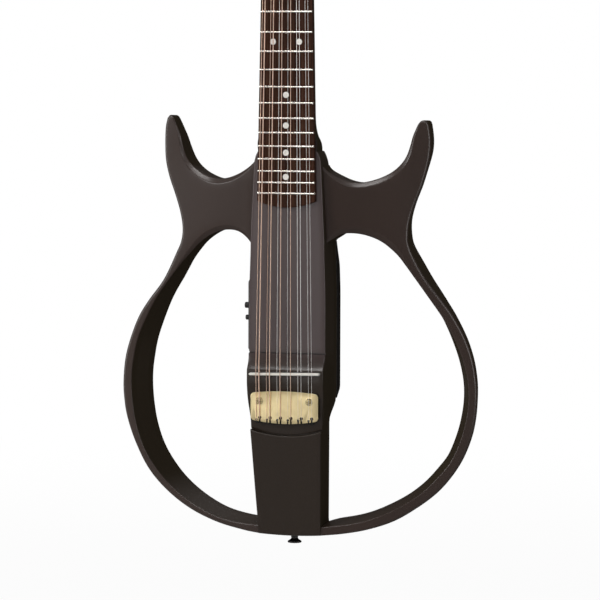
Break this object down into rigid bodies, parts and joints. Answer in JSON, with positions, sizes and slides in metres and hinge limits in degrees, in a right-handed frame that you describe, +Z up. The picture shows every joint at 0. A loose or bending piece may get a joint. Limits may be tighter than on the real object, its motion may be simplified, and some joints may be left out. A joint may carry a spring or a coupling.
{
  "type": "twelve-string acoustic-electric guitar",
  "caption": "Open-frame twelve-string acoustic-electric guitar: narrow centre core, two horns with slim open hoops, rosewood fingerboard, gold tailpiece plate and geared tuners.",
  "frame": {"origin": "centre of the outer face of the strap button at the lower end", "axes": "+Z up the neck towards the headstock, -Y out of the playing face, +X towards the treble side"},
  "size_m": [0.3762, 0.0877, 1.004],
  "materials": {
    "bass_frame_mat": "satin open-grain finish",
    "battery_mat": "fine matt texture",
    "battery_door_mat": "fine matt texture",
    "bridge_block_mat": "satin open-grain finish",
    "core_block_mat": "satin open-grain finish",
    "end_strap_button_mat": "black nickel plate",
    "fingerboard_mat": "oiled, unlacquered",
    "jack_socket_mat": "dark nickel plate",
    "neck_mat": "satin open-grain finish",
    "nut_mat": "polished bone-like plastic",
    "piezo_pickup_mat": "woven brass sheath",
    "power_button_mat": "fine matt texture",
    "preamp_module_mat": "fine matt texture",
    "rear_housing_mat": "fine matt texture",
    "saddle_mat": "polished bone-like plastic",
    "string_a_mat": "bright wound bronze",
    "string_a_octave_mat": "bright plain steel",
    "string_b_mat": "bright plain steel",
    "string_b_second_mat": "bright plain steel",
    "string_d_mat": "bright wound bronze",
    "string_d_octave_mat": "bright plain steel",
    "string_e_high_mat": "bright plain steel",
    "string_e_low_mat": "bright wound bronze",
    "string_e_octave_mat": "bright plain steel",
    "string_e_second_mat": "bright plain steel",
    "string_g_mat": "bright wound bronze",
    "string_g_octave_mat": "bright plain steel",
    "tailpiece_plate_mat": "pale gold plate, brushed",
    "tailpiece_screw_bass_mat": "pale gold plate, brushed",
    "tailpiece_screw_treble_mat": "pale gold plate, brushed",
    "tone_knob_mat": "fine matt texture",
    "treble_frame_mat": "satin open-grain finish",
    "truss_rod_mat": "plain steel",
    "tuner_button_bass_1_mat": "pale gold plate, polished",
    "tuner_button_bass_2_mat": "pale gold plate, polished",
    "tuner_button_bass_3_mat": "pale gold plate, polished",
    "tuner_button_bass_4_mat": "pale gold plate, polished",
    "tuner_button_bass_5_mat": "pale gold plate, polished",
    "tuner_button_bass_6_mat": "pale gold plate, polished",
    "tuner_button_treble_1_mat": "pale gold plate, polished",
    "tuner_button_treble_2_mat": "pale gold plate, polished",
    "tuner_button_treble_3_mat": "pale gold plate, polished",
    "tuner_button_treble_4_mat": "pale gold plate, polished",
    "tuner_button_treble_5_mat": "pale gold plate, polished",
    "tuner_button_treble_6_mat": "pale gold plate, polished",
    "tuner_post_bass_1_mat": "pale gold plate, polished",
    "tuner_post_bass_2_mat": "pale gold plate, polished",
    "tuner_post_bass_3_mat": "pale gold plate, polished",
    "tuner_post_bass_4_mat": "pale gold plate, polished",
    "tuner_post_bass_5_mat": "pale gold plate, polished",
    "tuner_post_bass_6_mat": "pale gold plate, polished",
    "tuner_post_treble_1_mat": "pale gold plate, polished",
    "tuner_post_treble_2_mat": "pale gold plate, polished",
    "tuner_post_treble_3_mat": "pale gold plate, polished",
    "tuner_post_treble_4_mat": "pale gold plate, polished",
    "tuner_post_treble_5_mat": "pale gold plate, polished",
    "tuner_post_treble_6_mat": "pale gold plate, polished",
    "tuner_strip_bass_mat": "pale gold plate, polished",
    "tuner_strip_treble_mat": "pale gold plate, polished",
    "volume_knob_mat": "fine matt texture"
  },
  "bodies": {
    "guitar": {"bass_frame": "bass_frame_mat", "battery": "battery_mat", "bridge_block": "bridge_block_mat", "core_block": "core_block_mat", "end_strap_button": "end_strap_button_mat", "fingerboard": "fingerboard_mat", "jack_socket": "jack_socket_mat", "neck": "neck_mat", "nut": "nut_mat", "piezo_pickup": "piezo_pickup_mat", "preamp_module": "preamp_module_mat", "rear_housing": "rear_housing_mat", "saddle": "saddle_mat", "string_a": "string_a_mat", "string_a_octave": "string_a_octave_mat", "string_b": "string_b_mat", "string_b_second": "string_b_second_mat", "string_d": "string_d_mat", "string_d_octave": "string_d_octave_mat", "string_e_high": "string_e_high_mat", "string_e_low": "string_e_low_mat", "string_e_octave": "string_e_octave_mat", "string_e_second": "string_e_second_mat", "string_g": "string_g_mat", "string_g_octave": "string_g_octave_mat", "tailpiece_plate": "tailpiece_plate_mat", "tailpiece_screw_bass": "tailpiece_screw_bass_mat", "tailpiece_screw_treble": "tailpiece_screw_treble_mat", "treble_frame": "treble_frame_mat", "truss_rod": "truss_rod_mat", "tuner_strip_bass": "tuner_strip_bass_mat", "tuner_strip_treble": "tuner_strip_treble_mat"},
    "battery_door_body": {"battery_door": "battery_door_mat"},
    "volume_knob_body": {"volume_knob": "volume_knob_mat"},
    "tone_knob_body": {"tone_knob": "tone_knob_mat"},
    "power_button_body": {"power_button": "power_button_mat"},
    "tuner_button_bass_1_body": {"tuner_button_bass_1": "tuner_button_bass_1_mat"},
    "tuner_button_bass_2_body": {"tuner_button_bass_2": "tuner_button_bass_2_mat"},
    "tuner_button_bass_3_body": {"tuner_button_bass_3": "tuner_button_bass_3_mat"},
    "tuner_button_bass_4_body": {"tuner_button_bass_4": "tuner_button_bass_4_mat"},
    "tuner_button_bass_5_body": {"tuner_button_bass_5": "tuner_button_bass_5_mat"},
    "tuner_button_bass_6_body": {"tuner_button_bass_6": "tuner_button_bass_6_mat"},
    "tuner_button_treble_1_body": {"tuner_button_treble_1": "tuner_button_treble_1_mat"},
    "tuner_button_treble_2_body": {"tuner_button_treble_2": "tuner_button_treble_2_mat"},
    "tuner_button_treble_3_body": {"tuner_button_treble_3": "tuner_button_treble_3_mat"},
    "tuner_button_treble_4_body": {"tuner_button_treble_4": "tuner_button_treble_4_mat"},
    "tuner_button_treble_5_body": {"tuner_button_treble_5": "tuner_button_treble_5_mat"},
    "tuner_button_treble_6_body": {"tuner_button_treble_6": "tuner_button_treble_6_mat"},
    "tuner_post_bass_1_body": {"tuner_post_bass_1": "tuner_post_bass_1_mat"},
    "tuner_post_bass_2_body": {"tuner_post_bass_2": "tuner_post_bass_2_mat"},
    "tuner_post_bass_3_body": {"tuner_post_bass_3": "tuner_post_bass_3_mat"},
    "tuner_post_bass_4_body": {"tuner_post_bass_4": "tuner_post_bass_4_mat"},
    "tuner_post_bass_5_body": {"tuner_post_bass_5": "tuner_post_bass_5_mat"},
    "tuner_post_bass_6_body": {"tuner_post_bass_6": "tuner_post_bass_6_mat"},
    "tuner_post_treble_1_body": {"tuner_post_treble_1": "tuner_post_treble_1_mat"},
    "tuner_post_treble_2_body": {"tuner_post_treble_2": "tuner_post_treble_2_mat"},
    "tuner_post_treble_3_body": {"tuner_post_treble_3": "tuner_post_treble_3_mat"},
    "tuner_post_treble_4_body": {"tuner_post_treble_4": "tuner_post_treble_4_mat"},
    "tuner_post_treble_5_body": {"tuner_post_treble_5": "tuner_post_treble_5_mat"},
    "tuner_post_treble_6_body": {"tuner_post_treble_6": "tuner_post_treble_6_mat"}
  },
  "joints": [
    {"name": "battery_door_hinge", "type": "hinge", "parent": "guitar", "child": "battery_door_body", "pos_m": [0, 0.03, 0.222], "axis": [1, 0, 0], "range_deg": [0, 105]},
    {"name": "volume_knob_turn", "type": "hinge", "parent": "guitar", "child": "volume_knob_body", "pos_m": [-0.0428, -0.017, 0.2433], "axis": [-1, 0, 0], "range_deg": [-150, 150]},
    {"name": "tone_knob_turn", "type": "hinge", "parent": "guitar", "child": "tone_knob_body", "pos_m": [-0.0428, -0.017, 0.2309], "axis": [-1, 0, 0], "range_deg": [-150, 150]},
    {"name": "power_button_press", "type": "slide", "parent": "guitar", "child": "power_button_body", "axis": [1, 0, 0], "range_m": [0, 0.001], "stiffness_N_per_m": 400, "springref_m": -0.001},
    {"name": "tuner_button_bass_1_turn", "type": "hinge", "parent": "guitar", "child": "tuner_button_bass_1_body", "pos_m": [-0.02437, -0.00642, 0.8373], "axis": [-0.9989, 0.0096, 0.0451], "continuous": true},
    {"name": "tuner_post_bass_1_turn", "type": "hinge", "parent": "guitar", "child": "tuner_post_bass_1_body", "pos_m": [-0.024, -0.02459, 0.84943], "axis": [0, -0.9781, 0.2079], "continuous": true},
    {"name": "tuner_button_bass_2_turn", "type": "hinge", "parent": "guitar", "child": "tuner_button_bass_2_body", "pos_m": [-0.02317, -0.00102, 0.86272], "axis": [-0.9989, 0.0096, 0.0451], "continuous": true},
    {"name": "tuner_post_bass_2_turn", "type": "hinge", "parent": "guitar", "child": "tuner_post_bass_2_body", "pos_m": [-0.0228, -0.01919, 0.87485], "axis": [0, -0.9781, 0.2079], "continuous": true},
    {"name": "tuner_button_bass_3_turn", "type": "hinge", "parent": "guitar", "child": "tuner_button_bass_3_body", "pos_m": [-0.02197, 0.00439, 0.88814], "axis": [-0.9989, 0.0096, 0.0451], "continuous": true},
    {"name": "tuner_post_bass_3_turn", "type": "hinge", "parent": "guitar", "child": "tuner_post_bass_3_body", "pos_m": [-0.0216, -0.01379, 0.90027], "axis": [0, -0.9781, 0.2079], "continuous": true},
    {"name": "tuner_button_bass_4_turn", "type": "hinge", "parent": "guitar", "child": "tuner_button_bass_4_body", "pos_m": [-0.02077, 0.00979, 0.91356], "axis": [-0.9989, 0.0096, 0.0451], "continuous": true},
    {"name": "tuner_post_bass_4_turn", "type": "hinge", "parent": "guitar", "child": "tuner_post_bass_4_body", "pos_m": [-0.0204, -0.00838, 0.92569], "axis": [0, -0.9781, 0.2079], "continuous": true},
    {"name": "tuner_button_bass_5_turn", "type": "hinge", "parent": "guitar", "child": "tuner_button_bass_5_body", "pos_m": [-0.01957, 0.01519, 0.93898], "axis": [-0.9989, 0.0096, 0.0451], "continuous": true},
    {"name": "tuner_post_bass_5_turn", "type": "hinge", "parent": "guitar", "child": "tuner_post_bass_5_body", "pos_m": [-0.0192, -0.00298, 0.95112], "axis": [0, -0.9781, 0.2079], "continuous": true},
    {"name": "tuner_button_bass_6_turn", "type": "hinge", "parent": "guitar", "child": "tuner_button_bass_6_body", "pos_m": [-0.01837, 0.0206, 0.9644], "axis": [-0.9989, 0.0096, 0.0451], "continuous": true},
    {"name": "tuner_post_bass_6_turn", "type": "hinge", "parent": "guitar", "child": "tuner_post_bass_6_body", "pos_m": [-0.018, 0.00242, 0.97654], "axis": [0, -0.9781, 0.2079], "continuous": true},
    {"name": "tuner_button_treble_1_turn", "type": "hinge", "parent": "guitar", "child": "tuner_button_treble_1_body", "pos_m": [0.02437, -0.00642, 0.8373], "axis": [0.9989, 0.0096, 0.0451], "continuous": true},
    {"name": "tuner_post_treble_1_turn", "type": "hinge", "parent": "guitar", "child": "tuner_post_treble_1_body", "pos_m": [0.024, -0.02459, 0.84943], "axis": [0, -0.9781, 0.2079], "continuous": true},
    {"name": "tuner_button_treble_2_turn", "type": "hinge", "parent": "guitar", "child": "tuner_button_treble_2_body", "pos_m": [0.02317, -0.00102, 0.86272], "axis": [0.9989, 0.0096, 0.0451], "continuous": true},
    {"name": "tuner_post_treble_2_turn", "type": "hinge", "parent": "guitar", "child": "tuner_post_treble_2_body", "pos_m": [0.0228, -0.01919, 0.87485], "axis": [0, -0.9781, 0.2079], "continuous": true},
    {"name": "tuner_button_treble_3_turn", "type": "hinge", "parent": "guitar", "child": "tuner_button_treble_3_body", "pos_m": [0.02197, 0.00439, 0.88814], "axis": [0.9989, 0.0096, 0.0451], "continuous": true},
    {"name": "tuner_post_treble_3_turn", "type": "hinge", "parent": "guitar", "child": "tuner_post_treble_3_body", "pos_m": [0.0216, -0.01379, 0.90027], "axis": [0, -0.9781, 0.2079], "continuous": true},
    {"name": "tuner_button_treble_4_turn", "type": "hinge", "parent": "guitar", "child": "tuner_button_treble_4_body", "pos_m": [0.02077, 0.00979, 0.91356], "axis": [0.9989, 0.0096, 0.0451], "continuous": true},
    {"name": "tuner_post_treble_4_turn", "type": "hinge", "parent": "guitar", "child": "tuner_post_treble_4_body", "pos_m": [0.0204, -0.00838, 0.92569], "axis": [0, -0.9781, 0.2079], "continuous": true},
    {"name": "tuner_button_treble_5_turn", "type": "hinge", "parent": "guitar", "child": "tuner_button_treble_5_body", "pos_m": [0.01957, 0.01519, 0.93898], "axis": [0.9989, 0.0096, 0.0451], "continuous": true},
    {"name": "tuner_post_treble_5_turn", "type": "hinge", "parent": "guitar", "child": "tuner_post_treble_5_body", "pos_m": [0.0192, -0.00298, 0.95112], "axis": [0, -0.9781, 0.2079], "continuous": true},
    {"name": "tuner_button_treble_6_turn", "type": "hinge", "parent": "guitar", "child": "tuner_button_treble_6_body", "pos_m": [0.01837, 0.0206, 0.9644], "axis": [0.9989, 0.0096, 0.0451], "continuous": true},
    {"name": "tuner_post_treble_6_turn", "type": "hinge", "parent": "guitar", "child": "tuner_post_treble_6_body", "pos_m": [0.018, 0.00242, 0.97654], "axis": [0, -0.9781, 0.2079], "continuous": true}
  ],
  "couplings": [
    {"joint": "tuner_post_bass_1_turn", "follows": "tuner_button_bass_1_turn", "ratio": -0.055556},
    {"joint": "tuner_post_bass_2_turn", "follows": "tuner_button_bass_2_turn", "ratio": -0.055556},
    {"joint": "tuner_post_bass_3_turn", "follows": "tuner_button_bass_3_turn", "ratio": -0.055556},
    {"joint": "tuner_post_bass_4_turn", "follows": "tuner_button_bass_4_turn", "ratio": -0.055556},
    {"joint": "tuner_post_bass_5_turn", "follows": "tuner_button_bass_5_turn", "ratio": -0.055556},
    {"joint": "tuner_post_bass_6_turn", "follows": "tuner_button_bass_6_turn", "ratio": -0.055556},
    {"joint": "tuner_post_treble_1_turn", "follows": "tuner_button_treble_1_turn", "ratio": 0.055556},
    {"joint": "tuner_post_treble_2_turn", "follows": "tuner_button_treble_2_turn", "ratio": 0.055556},
    {"joint": "tuner_post_treble_3_turn", "follows": "tuner_button_treble_3_turn", "ratio": 0.055556},
    {"joint": "tuner_post_treble_4_turn", "follows": "tuner_button_treble_4_turn", "ratio": 0.055556},
    {"joint": "tuner_post_treble_5_turn", "follows": "tuner_button_treble_5_turn", "ratio": 0.055556},
    {"joint": "tuner_post_treble_6_turn", "follows": "tuner_button_treble_6_turn", "ratio": 0.055556}
  ]
}
